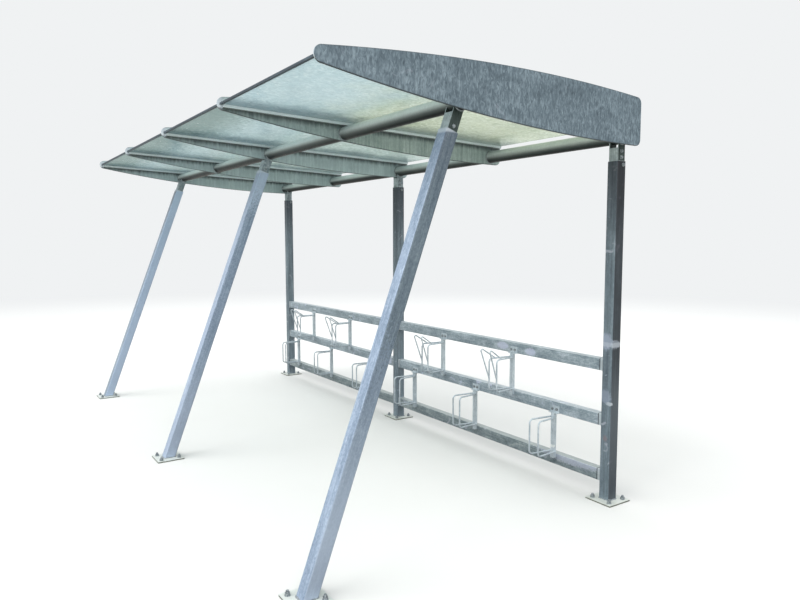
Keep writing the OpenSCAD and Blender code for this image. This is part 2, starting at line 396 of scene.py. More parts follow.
@dataclass(frozen=True)
class Slope(Layer):
    """A band along a line whose height falls with y.

    The mask is all at `inner` above the line, and nothing at `outer`; both may be below it.
    """

    height: float = 0.0
    fall: float = 0.0
    inner: float = 0.0
    outer: float = -0.04
    cut: float = 0.001
    edge_waver: float = 0.0
    waver_size: Triple = (0.02, 0.02, 0.3)

    def mask(self, paint: Paint) -> Signal:
        """A fade from inner to outer, cut off sharply on the inner side."""
        above = paint.across(2) + paint.across(1) * self.fall - self.height
        cut = self.cut if self.inner > self.outer else -self.cut
        edge = paint.band(above, self.inner + cut, self.inner)
        if self.edge_waver:
            edge_noise = paint.noise(self.waver_size, 4.0, 0.3, 5.0) - 0.5
            above = above + edge_noise * self.edge_waver
        return edge * paint.band(above, self.outer, self.inner)


@dataclass(frozen=True)
class Arc(Layer):
    """A thin line along a round edge, where the distance from the arc's middle is the radius."""

    middle: Pair = (0.0, 0.0)
    radius: float = 1.0
    width: float = 0.006

    def mask(self, paint: Paint) -> Signal:
        """A rise over the width up to the radius, from inside the arc."""
        off = paint.vector("SUBTRACT", paint.place, (0.0, *self.middle))
        far = paint.measure("LENGTH", paint.vector("MULTIPLY", off, (0.0, 1.0, 1.0)))
        return paint.band(far, self.radius - self.width, self.radius - 0.3 * self.width)


@dataclass(frozen=True)
class Zinc:
    """Hot-dip galvanised steel: streaks, feathers, clouds and crystals, then its layers."""

    name: str
    dark: Colour
    mid: Colour
    light: Colour
    streak: Triple = (0.016, 0.016, 0.6)
    streak_share: float = 0.5
    feather: Triple = (0.012, 0.012, 0.04)
    feather_share: float = 0.4
    cloud: Triple = (0.25, 0.25, 0.25)
    cloud_share: float = 0.5
    crystal: Triple = (0.01, 0.01, 0.01)
    crystal_share: float = 0.15
    bloom: Colour = seen(196, 201, 214)
    bloom_size: Triple = (0.08, 0.08, 0.06)
    bloom_from: float = 0.62
    bloom_share: float = 0.5
    grain: Triple = (0.0016, 0.0016, 0.0016)
    rough: float = 0.45
    metal: float = 0.12
    mirror: float = 0.5
    relief: float = 0.2
    depth: float = 0.0012
    turn: float = 0.0
    layers: tuple[Layer, ...] = ()

    def make(self) -> Material:
        """Builds the material.

        Returns:
            The material, whose tone is 0.5 plus each pattern's share of its spread.
        """
        paint = Paint(self.name, self.turn)
        crystals = paint.cells(self.crystal)
        feathers = paint.noise(self.feather, 4.0, 1.2, 7.3)
        streaks = paint.noise(self.streak, 3.0, 0.2)
        clouds = paint.noise(self.cloud, 4.0, 0.6, 3.1)
        tone = ((crystals - 0.5) * self.crystal_share
                + (feathers - 0.5) * (2 * self.feather_share)
                + (streaks - 0.5) * (2 * self.streak_share)
                + (clouds - 0.5) * (2 * self.cloud_share) + 0.5)
        colour = paint.ramp(tone, self.dark, self.mid, self.light)
        bloom = paint.band(paint.noise(self.bloom_size, 5.0, 0.8, 11.0),
                           self.bloom_from, self.bloom_from + 0.08)
        colour = paint.mix(bloom * self.bloom_share, colour, self.bloom)
        for layer in self.layers:
            colour = layer.lay(paint, colour)
        grain = paint.noise(self.grain)
        rough = (crystals - 0.5) * 0.1 + (clouds - 0.5) * 0.2 + bloom * 0.1 + self.rough
        height = crystals * 0.3 + feathers * 0.4 + grain * 0.3 + streaks * 0.6 + bloom * 0.3
        return paint.close(paint.coat(colour, rough, height, (self.relief, self.depth),
                                      self.metal, self.mirror))


@dataclass(frozen=True)
class CloudedGlass:
    """Safety glass with a green body, dulled by a mottled film of damp and dust."""

    name: str = "clouded_roof_glass"
    clear: Colour = seen(222, 230, 230)
    # Painted light: the film is cream-green at the back and cool at the front, where the sky shows
    # through.
    film: Colour = seen(232, 236, 218)
    cool_film: Colour = seen(214, 230, 234)
    # Painted view of the trees, seen at the front of the left panes.
    tree_view: Colour = seen(80, 122, 112)
    # Painted shade beside each roof plate.
    plate_shade: Colour = seen(96, 118, 128)
    dust: Colour = seen(150, 166, 120)
    edge: Colour = seen(70, 98, 92)
    edge_light: Colour = seen(120, 156, 146)
    speck: Colour = seen(244, 248, 246)
    mirror_tint: Colour = (0.75, 0.82, 0.83)
    mottle: Triple = (0.045, 0.05, 0.05)
    fine: Triple = (0.014, 0.022, 0.02)
    wide: Triple = (0.4, 0.3, 0.4)
    patch: Triple = (0.16, 0.1, 0.1)
    specks: Triple = (0.02, 0.02, 0.02)
    haze: float = 0.82
    through: float = 0.85
    film_rough: float = 0.6
    film_mirror: float = 0.15
    gloss_rough: float = 0.22
    gloss_power: float = 5.0
    rim_rough: float = 0.25
    pitch: float = 1.296
    first: float = -2.592
    left_end: float = 1.3

    def make(self) -> Material:
        """Builds the material.

        Returns:
            The material: tint, then film by a haze mask, then a mirror by the viewing angle.
        """
        paint = Paint(self.name)
        mottle = paint.noise(self.mottle, 5.0, 1.4, 5.0)
        fine = paint.noise(self.fine, 3.0, 0.6, 2.0)
        wide = paint.noise(self.wide, 3.0, 0.5, 9.0)
        specks = paint.band(paint.noise(self.specks, 0.0, 0.0, 21.0), 0.80, 0.84)
        haze = (fine - 0.5) * 0.5 + (mottle - 0.5) * 0.8 + (wide - 0.5) * 0.4 + self.haze
        # Painted shade of the roof plates on the film beside them.
        along = (paint.across(0) - self.first) % self.pitch
        beside = paint.band(along + (mottle - 0.5) * 0.2 + (wide - 0.5) * 0.25, 0.36, 0.02)
        left = paint.band(paint.across(0), self.left_end, self.left_end - 0.02)
        green = paint.band(paint.across(1) + (wide - 0.5) * 0.8, -0.75, 0.15) * (1 - left * 0.6)
        patchy = paint.band(paint.noise(self.patch, 3.0, 0.8, 31.0), 0.5, 0.68)
        bright = paint.band((fine - 0.5) * 0.8 + mottle, 0.42, 0.72)
        front = paint.band((mottle - 0.5) * 0.5 + paint.across(1), -0.55, -0.95)
        # Painted light: cool film towards the front, where the sky shows through, cream-green
        # towards the back.
        colour = paint.mix(green, self.cool_film, self.film)
        # The dark teal at the front of the left panes is a painted view of the trees.
        for share, film in ((patchy * green * 0.25, self.dust), (bright * 0.45, self.speck),
                            (left * front * 0.62, self.tree_view), (beside * 0.55, self.plate_shade),
                            (specks, self.speck)):
            colour = paint.mix(share, colour, film)
        dull = paint.coat(colour, self.film_rough, mirror=self.film_mirror)
        lit = paint.out("BsdfTranslucent", {"Color": colour})
        # The painted shade beside the plates darkens the clear share too.
        clear = paint.out("BsdfTransparent",
                          {"Color": paint.mix(beside * 0.5, self.clear, self.plate_shade)})
        cover = (haze + beside * 0.25 + specks * 0.5).clamped()
        body = paint.blend_shaders(cover, clear, paint.blend_shaders(self.through, dull, lit))
        glance = paint.value("LayerWeight", {"Blend": 0.5}, "Facing")
        gloss = paint.out("BsdfGlossy", {"Color": self.mirror_tint, "Roughness": self.gloss_rough})
        body = paint.blend_shaders(glance ** self.gloss_power * 0.75 + 0.02, body, gloss)
        normal = paint.out("NewGeometry", None, "True Normal")
        flat = paint.value("SeparateXYZ", {0: normal}, 2)
        rim = paint.coat(paint.mix(mottle, self.edge, self.edge_light), self.rim_rough)
        return paint.close(paint.blend_shaders(paint.band(abs(flat), 0.7, 0.3), body, rim))


@dataclass(frozen=True)
class Hardware:
    """Bright zinc on bolts and nuts, or the rougher zinc of a weld."""

    name: str
    colour: Colour = seen(168, 176, 180)
    shade: Colour = seen(108, 116, 120)
    rough: float = 0.38
    metal: float = 0.5
    cloud: Triple = (0.007, 0.007, 0.007)
    grain: Triple = (0.0009, 0.0009, 0.0009)
    relief: Pair = (0.3, 0.0006)

    def make(self) -> Material:
        """Builds the material.

        Returns:
            The material, clouded at the scale of the small parts.
        """
        paint = Paint(self.name)
        clouds = paint.noise(self.cloud, 4.0, 0.5)
        grain = paint.noise(self.grain)
        colour = paint.mix(paint.band(clouds, 0.35, 0.65), self.shade, self.colour)
        return paint.close(paint.coat(colour, (clouds - 0.5) * 0.3 + self.rough,
                                      clouds + grain * 0.5, self.relief, self.metal))


@dataclass(frozen=True)
class Sealant:
    """Dark sealing strip, dusty on its rough top."""

    name: str = "dark_sealant"
    colour: Colour = seen(52, 56, 56)
    dust: Colour = seen(118, 120, 112)
    cloud: Triple = (0.02, 0.05, 0.02)
    relief: Pair = (0.3, 0.0008)

    def make(self) -> Material:
        """Builds the material.

        Returns:
            The material, with dust where its clouds are high.
        """
        paint = Paint(self.name)
        clouds = paint.noise(self.cloud, 4.0, 0.5)
        colour = paint.mix(paint.band(clouds, 0.45, 0.7), self.colour, self.dust)
        return paint.close(paint.coat(colour, clouds * 0.3 + 0.5, clouds, self.relief))


# ---- surfaces


@dataclass
class Shell:
    """A closed surface: its points and its faces."""

    points: Array
    faces: list[Array]

    def outward(self) -> "Shell":
        """Turns the faces so that they point outwards.

        Returns:
            The same shell. Its volume, the sum of the signed volumes of the cones from the
            middle to each face's triangles, is negative when the faces point inwards.
        """
        middle = self.points - self.points.mean(0)
        volume = 0.0
        for faces in self.faces:
            for k in range(1, faces.shape[1] - 1):
                a, b, c = (middle[faces[:, j]] for j in (0, k, k + 1))
                volume += float(np.einsum("ij,ij->", a, np.cross(b, c)))
        if volume < 0:
            self.faces = [faces[:, ::-1] for faces in self.faces]
        return self

    def copies(self, moves: Array) -> "Shell":
        """Copies the shell.

        Args:
            moves: a stack of 4 by 4 matrices, which don't mirror it.

        Returns:
            One shell of all the copies.
        """
        placed = np.einsum("mij,nj->mni", moves[:, :3, :3], self.points) + moves[:, None, :3, 3]
        steps = np.arange(len(moves))[:, None, None] * len(self.points)
        faces = [(part[None] + steps).reshape(-1, part.shape[1]) for part in self.faces]
        return Shell(placed.reshape(-1, 3), faces)


def grid_faces(rows: int, columns: int, loop_rows: bool, loop_columns: bool) -> Array:
    """Faces of a grid of points.

    Args:
        rows: number of rows.
        columns: number of columns.
        loop_rows: True if the last row joins the first.
        loop_columns: True if the last column joins the first.

    Returns:
        Four corners for each face.
    """
    row = np.arange(rows if loop_rows else rows - 1)[:, None]
    column = np.arange(columns if loop_columns else columns - 1)[None, :]
    row_on, column_on = (row + 1) % rows, (column + 1) % columns
    corners = [row * columns + column, row_on * columns + column,
               row_on * columns + column_on, row * columns + column_on]
    return np.stack(corners, -1).reshape(-1, 4)


def fan(ring: Array, tip: int) -> Array:
    """Triangles from a closed ring of point numbers to one point."""
    return np.stack([ring, np.roll(ring, -1), np.full(len(ring), tip)], -1)


def skin(grid: Array, loop: bool, tips: Array) -> Shell:
    """Shell over a grid of points whose rows are closed rings.

    Args:
        grid: the points, ring by ring.
        loop: True if the last ring joins the first.
        tips: the two points that close the ends, if they don't join.

    Returns:
        The closed shell.
    """
    rows, columns = grid.shape[:2]
    points = grid.reshape(-1, 3)
    faces = [grid_faces(rows, columns, loop, True)]
    if not loop:
        ring, tip = np.arange(columns), len(points)
        faces += [fan(ring[::-1], tip), fan(ring + tip - columns, tip + 1)]
        points = np.concatenate([points, tips])
    return Shell(points, faces).outward()


def turned(profile: list[Pair], sides: int, flats: float = 0.0, loop: bool = False,
           radii: Array | None = None) -> Shell:
    """Surface turned round z: point (i, j) is (r cos t, r sin t, z) with r, z from profile i.

    Args:
        profile: radius and height of each point.
        sides: number of steps in a turn.
        flats: width across the flats of the hexagon that cuts the radius, or 0 for round.
        loop: True if the profile is a closed ring, or else its ends close on the axis.
        radii: radius at each point and angle, in place of the profile's radius.

    Returns:
        The closed shell.
    """
    outline = np.array(profile, float)
    angle = np.arange(sides) * (2 * math.pi / sides)
    reach = np.repeat(outline[:, :1], sides, 1) if radii is None else radii
    if flats:
        side = (angle + math.pi / 6) % (math.pi / 3) - math.pi / 6
        reach = np.minimum(reach, flats / 2 / np.cos(side))
    height = np.repeat(outline[:, 1:], sides, 1)
    grid = np.stack([reach * np.cos(angle), reach * np.sin(angle), height], -1)
    return skin(grid, loop, np.array([(0, 0, outline[0, 1]), (0, 0, outline[-1, 1])]))


def carried(section: Array, path: Array, side: Array, up: Array, loop: bool) -> Shell:
    """Section carried along a path: point (i, j) is path i + side i * a + up i * b.

    Args:
        section: the closed section's (a, b) points for each path point.
        path: the path's points.
        side: direction of a at each path point, or one for all.
        up: direction of b at each path point, or one for all.
        loop: True if the path is closed, or else its ends get caps.

    Returns:
        The closed shell.
    """
    side, up = (np.broadcast_to(way, path.shape)[:, None] for way in (side, up))
    grid = path[:, None] + side * section[..., :1] + up * section[..., 1:]
    return skin(grid, loop, grid[[0, -1]].mean(1))


def bead(size: float, path: Array, side: Array, up: Array, loop: bool) -> Shell:
    """Weld bead in the corner between two faces, with the ripples of its making.

    Args:
        size: length of its legs along the two faces.
        path: the corner's line.
        side: direction away from the corner along one face.
        up: direction away from the corner along the other face.
        loop: True if the line is closed.

    Returns:
        The closed shell, whose section swells by two sines of the length along the path.
    """
    legs = np.array([(-0.15, -0.15), (1.0, -0.15), (0.95, 0.1), (0.72, 0.46), (0.46, 0.72),
                     (0.1, 0.95), (-0.15, 1.0)]) * size
    steps = np.linalg.norm(np.diff(path, axis=0), axis=1)
    length = np.concatenate([[0.0], np.cumsum(steps)])
    whole = length[-1] + (np.linalg.norm(path[0] - path[-1]) if loop else 0.0)
    ripples = max(round(whole / RIPPLE), 1)
    swell = 1.0
    for height, count in ((0.09, ripples), (0.07, max(ripples // 7, 1))):
        swell = swell + height * np.sin(2 * math.pi * count * length / whole)
    return carried(legs[None] * swell[:, None, None], path, side, up, loop)


def leaning(angle: float) -> tuple[Array, Array]:
    """Directions across and along a piece that leans back from the vertical by an angle."""
    sine, cosine = math.sin(angle), math.cos(angle)
    return np.array([0.0, cosine, -sine]), np.array([0.0, sine, cosine])


def seats(points: list[Triple], axis: Triple, roll: float = 0.0) -> Array:
    """Matrices that set a piece made round z on points, with its z along an axis.

    Args:
        points: where the piece's origin goes.
        axis: direction of its z.
        roll: turn about z, in radians; each next point turns half a radian more.

    Returns:
        One 4 by 4 matrix for each point.
    """
    stand = Vector(axis).to_track_quat("Z", "Y").to_matrix().to_4x4()
    return np.array([Matrix.Translation(point) @ stand @ Matrix.Rotation(roll + 0.5 * k, 4, "Z")
                     for k, point in enumerate(points)])


class Slot(Enum):
    """The record's material slots; no piece here takes its finish from them."""

    POST = "post_steel"
    HEAD = "head_steel"
    TUBE = "tube_steel"
    RAIL = "rail_steel"
    EDGE = "edge_channel"


def linked(name: str, data: bpy.types.ID) -> bpy.types.Object:
    """Makes an object of the data and links it to the scene."""
    made = bpy.data.objects.new(name, data)
    bpy.context.scene.collection.objects.link(made)
    return made


def make_piece(name: str, shells: list[Shell], material: Material,
               sharp: float = 40.0) -> None:
    """Makes one object of closed shells, which rides with the frame.

    Args:
        name: the piece's name.
        shells: its surfaces.
        material: its finish.
        sharp: angle in degrees past which an edge stays sharp.
    """
    starts = np.cumsum([0] + [len(shell.points) for shell in shells])
    points = np.concatenate([shell.points for shell in shells])
    faces = [corner for shell, start in zip(shells, starts) for part in shell.faces
             for corner in (part + start).tolist()]
    mesh = bpy.data.meshes.new(name)
    mesh.from_pydata(points.tolist(), [], faces)
    mesh.materials.append(material)
    mesh.polygons.foreach_set("use_smooth", np.ones(len(mesh.polygons), bool))
    mesh.set_sharp_from_angle(angle=math.radians(sharp))
    mesh.update()
    made = linked(name, mesh)
    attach(made, BODY)
    LOG.info("%s: %d faces", name, len(mesh.polygons))


# ---- fasteners


@dataclass(frozen=True)
class Fastener:
    """A hexagon bolt or nut with its washer, or a domed bolt, made round z on a face at z = 0."""

    thread: float
    flats: float
    depth: float
    washer: float = 0.024
    washer_depth: float = 0.0025

    @property
    def corner(self) -> float:
        """Distance from the axis to a corner of the hexagon."""
        return self.flats / 2 / math.cos(math.pi / 6)

    @property
    def top(self) -> float:
        """Height of the nut's or the head's top."""
        return self.washer_depth + self.depth

    def ring(self) -> Shell:
        """Washer with a worn upper edge."""
        hole, out, top = self.thread / 2 * 1.08, self.washer / 2, self.washer_depth
        profile = [(hole, 0.0), (out, 0.0), (out, top * 0.7), (out - top * 0.3, top), (hole, top)]
        return turned(profile, 36, loop=True)

    def nut(self) -> Shell:
        """Hexagon nut, chamfered at both ends, on the washer."""
        inner, hole, out = self.flats / 2 * 1.01, self.thread / 2, self.corner + MM
        low, high, cut = self.washer_depth, self.top, 0.7 * (self.corner - self.flats / 2)
        profile = [(hole, low), (inner, low), (out, low + cut), (out, high - cut), (inner, high),
                   (hole * 1.12, high), (hole, high - 0.8 * MM)]
        return turned(profile, 36, flats=self.flats, loop=True)

    def head(self) -> Shell:
        """Hexagon head, chamfered at its top, on the washer."""
        inner, out = self.flats / 2 * 0.98, self.corner + MM
        low, high, cut = self.washer_depth * 0.5, self.top, 0.7 * (self.corner - self.flats / 2)
        profile = [(inner * 0.9, low), (out, low), (out, high - cut), (inner, high),
                   (inner * 0.4, high)]
        return turned(profile, 36, flats=self.flats)

    def stud(self, low: float, high: float, pitch: float) -> Shell:
        """Threaded stud: its radius falls by a triangle wave of z / pitch less the turn.

        Args:
            low: height of its lower end.
            high: height of its upper end.
            pitch: height of one turn of the thread.

        Returns:
            The closed shell.
        """
        sides, rows = 20, int((high - low) / pitch * 4) + 1
        height = np.linspace(low, high, rows)
        angle = np.arange(sides) / sides
        wave = np.abs(((height[:, None] / pitch - angle) % 1.0) * 2 - 1)
        radii = self.thread / 2 - wave * 0.3 * pitch
        radii = np.minimum(radii, self.thread / 2 - 0.8 * MM + (high - height[:, None]) * 0.9)
        return turned([(self.thread / 2, z) for z in height], sides, radii=radii)

    def dome(self) -> Shell:
        """Domed head: a quarter oval from the rim to the top."""
        turn = np.linspace(0.0, math.pi / 2 * 0.94, 8)
        oval = np.stack([self.flats / 2 * np.cos(turn), self.depth * np.sin(turn) + 0.6 * MM], 1)
        return turned([(self.flats / 2, -0.3 * MM), *oval], 32)


def placed(moves: Array, *shells: Shell) -> list[Shell]:
    """Copies each shell by the moves."""
    return [shell.copies(moves) for shell in shells]


# ---- sub-assemblies


@dataclass
class Plan:
    """Places that the sub-assemblies share."""

    post_x: tuple[float, ...] = (-2.5, 0.0, 2.5)
    foot_y: float = 1.0985
    plate_top: float = 0.010
    post_half: float = 0.040
    front_purlin: Pair = (-0.1965, 2.431)
    rear_purlin: Pair = (1.0985, 2.360)
    purlin_half: float = 0.04445
    middle_rail: float = 0.495
    top_rail: float = 0.862
    rafter_x: tuple[float, ...] = (-2.592, -1.296, 0.0, 1.296, 2.592)
    glass_front: Pair = (-1.0505, 2.530)
    glass_fall: float = math.radians(2.1)
    ledge: float = 0.017

    @property
    def lean(self) -> float:
        """Angle between the front posts and the vertical."""
        return math.atan((self.front_purlin[0] + self.foot_y) / self.front_purlin[1])

    @property
    def rows(self) -> list[tuple[str, float, float, Pair]]:
        """Name, foot, lean and purlin of the front and the rear posts."""
        return [("front", -self.foot_y, self.lean, self.front_purlin),
                ("rear", self.foot_y, 0.0, self.rear_purlin)]

    @property
    def ledge_line(self) -> float:
        """Height of the ledges' underside where y is 0."""
        front, under = self.glass_front
        return under + front * math.tan(self.glass_fall) - self.ledge - 0.3 * MM


@dataclass
class Feet:
    """Anchor bolts in the base plates and the welds round the posts' feet.

    The stud's sizes are the heights of its ends and its pitch.
    """

    plan: Plan
    hole_half: float = 0.0675
    stud: Triple = (-0.0095, 0.0265, 0.002)
    weld: float = 0.006
    squareness: float = 9.0
    anchor: Fastener = Fastener(0.016, 0.024, 0.013, 0.030, 0.003)

    def anchors(self, x: float, y: float) -> list[Shell]:
        """Washers, nuts and studs in the four holes of one base plate.

        Args:
            x: the foot's place along the shelter.
            y: the foot's place across it.

        Returns:
            Three shells, each with four copies.
        """
        spots = [(x + a * self.hole_half, y + b * self.hole_half, self.plan.plate_top)
                 for a, b in ((-1, -1), (1, -1), (1, 1), (-1, 1))]
        return placed(seats(spots, TOP, 0.2), self.anchor.ring(), self.anchor.nut(),
                      self.anchor.stud(*self.stud))

    def foot_weld(self, x: float, y: float, lean: float) -> Shell:
        """Bead where a post stands on its plate.

        Args:
            x: the foot's place along the shelter.
            y: the foot's place across it.
            lean: the post's lean from the vertical.

        Returns:
            The shell, whose path is a square with round corners: |x|^n + |y|^n is constant.
        """
        half, top, power = self.plan.post_half, self.plan.plate_top, self.squareness
        turn = np.linspace(0.0, 2 * math.pi, 360, endpoint=False)
        way = np.stack([np.cos(turn), np.sin(turn), 0 * turn], 1)
        path = way * (half / (np.abs(way) ** power).sum(1) ** (1 / power))[:, None]
        away = np.sign(path) * (np.abs(path) / half) ** (power - 1)
        away /= np.linalg.norm(away, axis=1)[:, None]
        path = path / (1.0, math.cos(lean), 1.0) + (x, y + top * math.tan(lean), top)
        return bead(self.weld, path, away, (0.0, math.tan(lean), 1.0), True)

    def build(self, bolts: Material, welds: Material) -> None:
        """Makes the anchors and welds of all six feet.

        Args:
            bolts: the finish of the bolts.
            welds: the finish of the beads.
        """
        for k, x in enumerate(self.plan.post_x, 1):
            for row, y, _, _ in self.plan.rows:
                make_piece(f"{row}_anchors_{k}", self.anchors(x, y), bolts)
            for row, y, lean, _ in self.plan.rows:
                make_piece(f"{row}_foot_weld_{k}", [self.foot_weld(x, y, lean)], welds,
                           WELD_SHARP)


@dataclass
class Heads:
    """Bolts and welds of the channels that carry the purlins.

    The stud's sizes are its ends and its pitch, and a place of bolts is y off the foot, and z.
    """

    plan: Plan
    cheek: float = 0.0357
    half_depth: float = 0.031
    cuts: Pair = (2.43096, 2.210)
    weld: float = 0.0055
    rim_weld: float = 0.004
    saddle_share: float = 0.97
    front_bolt: float = 2.4565
    stud: Triple = (-0.004, 0.015, 0.00175)
    cheek_bolts: tuple[Pair, ...] = ((-0.004, 2.273), (-0.004, 2.234))
    post_bolts: tuple[Pair, ...] = ((0.012, 2.188),)
    bolt: Fastener = Fastener(0.012, 0.018, 0.0075)
    cap: Fastener = Fastener(0.012, 0.022, 0.0085)

    def front_bolts(self, x: float) -> list[Shell]:
        """Domed bolt through a front head, with its washer and nut.

        Args:
            x: the head's place along the shelter.

        Returns:
            Its four shells.
        """
        spot = leaning(self.plan.lean)[1] * self.front_bolt + (x, -self.plan.foot_y, 0.0)
        near, far = (seats([spot + (side * self.cheek, 0.0, 0.0)], (side, 0.0, 0.0))
                     for side in (1.0, -1.0))
        return placed(near, self.cap.dome()) + placed(far, self.bolt.ring(), self.bolt.nut(),
                                                      self.bolt.stud(*self.stud))

    def rear_bolts(self, x: float) -> list[Shell]:
        """Bolts in the cheeks of a rear head and in the sides of its post.

        Args:
            x: the head's place along the shelter.

        Returns:
            Washers and heads, for each side in turn.
        """
        shells = []
        for side in SIDES:
            for half, places in ((self.cheek, self.cheek_bolts),
                                 (self.plan.post_half, self.post_bolts)):
                spots = [(x + side * half, self.plan.foot_y + y, z) for y, z in places]
                shells += placed(seats(spots, (side, 0.0, 0.0), 0.3), self.bolt.ring(),
                                 self.bolt.head())
        return shells

    def beads(self, x: float, foot: float, lean: float, centre: Pair, cut: float) -> list[Shell]:
        """Beads of one head: along its two saddles under the purlin, and on the post's end.

        Args:
            x: the head's place along the shelter.
            foot: the foot's place across the shelter.
            lean: the lean from the vertical.
            centre: the purlin's axis, y and z.
            cut: the post's length along its axis.

        Returns:
            Four shells, whose paths are arcs of the purlin and lines across the post.
        """
        out, up = leaning(lean)
        span = math.asin(self.half_depth / self.plan.purlin_half) * self.saddle_share
        turn = np.linspace(-span, span, 110)[:, None]
        ray = np.sin(turn) * out - np.cos(turn) * up
        saddle = np.array([x, *centre]) + ray * self.plan.purlin_half
        across = np.linspace(-self.half_depth, self.half_depth, 60)[:, None]
        rim = np.array([x, foot, 0.0]) + up * cut + out * across
        return [bead(size, path + (side * self.cheek, 0.0, 0.0), (side, 0.0, 0.0), way, False)
                for size, path, way in ((self.weld, saddle, ray), (self.rim_weld, rim, up))
                for side in SIDES]

    def build(self, bolts: Material, welds: Material) -> None:
        """Makes the bolts and welds of all six heads.

        Args:
            bolts: the finish of the bolts.
            welds: the finish of the beads.
        """
        for k, x in enumerate(self.plan.post_x, 1):
            for (row, *place), cut, fixings in zip(self.plan.rows, self.cuts,
                                                   (self.front_bolts, self.rear_bolts)):
                make_piece(f"{row}_head_bolts_{k}", fixings(x), bolts)
                make_piece(f"{row}_head_welds_{k}", self.beads(x, *place, cut), welds,
                           WELD_SHARP)


@dataclass
class PurlinWelds:
    """Beads round the purlins where they meet the roof plates."""

    plan: Plan
    plate_half: float = 0.005
    weld: float = 0.0055

    def ring(self, x: float, side: float, centre: Pair) -> Shell:
        """Bead round a purlin against one face of a roof plate.

        Args:
            x: the plate's face.
            side: -1 or 1, the way that the face looks.
            centre: the purlin's axis, y and z.

        Returns:
            The shell, whose path is the purlin's outline.
        """
        turn = np.linspace(0.0, 2 * math.pi, 300, endpoint=False)
        ray = np.stack([0 * turn, np.sin(turn), np.cos(turn)], 1)
        path = np.array([x, *centre]) + ray * self.plan.purlin_half
        return bead(self.weld, path, (side, 0.0, 0.0), ray, True)

    def build(self, welds: Material) -> None:
        """Makes the beads of both purlins, none of them past the shelter's ends.

        Args:
            welds: the finish of the beads.
        """
        rafters = self.plan.rafter_x
        for row, _, _, centre in self.plan.rows:
            shells = [self.ring(x + side * self.plate_half, side, centre)
                      for x in rafters for side in SIDES
                      if rafters[0] < x + side < rafters[-1]]
            make_piece(f"{row}_purlin_welds", shells, welds, WELD_SHARP)


@dataclass
class Glazing:
    """Sealing strips between the glass and the roof plates."""

    plan: Plan
    pane_half: float = 0.639
    gap: float = 0.004
    glass: float = 0.008
    length: float = 2.2405
    short: float = 0.004
    off: float = 0.0002
    waver: float = 0.0006
    lip: float = 0.0012

    def strip(self, x: float) -> Shell:
        """Strip along one side of a pane.

        Args:
            x: the middle of the gap.

        Returns:
            The shell: an oblong with a hollow top, whose height wavers by sines of the length.
        """
        along = np.linspace(self.short, self.length - self.short, 240)
        way, up = leaning(self.plan.glass_fall)
        half, low = self.gap / 2 + self.off, np.full_like(along, self.off)
        top = self.glass + self.off + self.waver * np.sin(along * 31.0) * np.sin(along * 12.7 + 1.0)
        lip = top + self.lip
        section = np.stack([np.stack([np.full_like(along, half * share), height], 1)
                            for share, height in ((-1, low), (1, low), (1, lip), (0.3, top),
                                                  (-0.3, top), (-1, lip))], 1)
        path = np.array([x, *self.plan.glass_front]) + way * along[:, None]
        return carried(section, path, END, up, False)

    def build(self, material: Material) -> None:
        """Makes the strips of the four panes.

        Args:
            material: the finish of the strips.
        """
        offset = self.pane_half + self.gap / 2
        for k, ends in enumerate(zip(self.plan.rafter_x, self.plan.rafter_x[1:]), 1):
            strips = [self.strip(sum(ends) / 2 + side * offset) for side in SIDES]
            make_piece(f"glass_seal_{k}", strips, material, 30.0)


@dataclass
class HolderFixings:
    """Bolts of the angles that hold the wheel holders on the rails."""

    plan: Plan
    low_x: tuple[float, ...] = (-2.167, -1.307, -0.447, 0.333, 1.193, 2.053)
    high_x: tuple[float, ...] = (-1.737, -0.877, 0.763, 1.623)
    angle_face: float = 1.0632
    bolt_half: float = 0.020
    bolt_up: float = 0.027
    bolt: Fastener = Fastener(0.010, 0.017, 0.0064, 0.020, 0.002)

    def build(self, bolts: Material) -> None:
        """Makes the two bolts of each holder.

        Args:
            bolts: the finish of the bolts.
        """
        for kind, places, under in (("low", self.low_x, self.plan.middle_rail),
                                    ("high", self.high_x, self.plan.top_rail)):
            for k, x in enumerate(places, 1):
                spots = [(x + side * self.bolt_half, self.angle_face, under + self.bolt_up)
                         for side in SIDES]
                shells = placed(seats(spots, FRONT, 0.2 * k), self.bolt.ring(), self.bolt.head())
                make_piece(f"{kind}_holder_bolts_{k}", shells, bolts)


# ---- studio


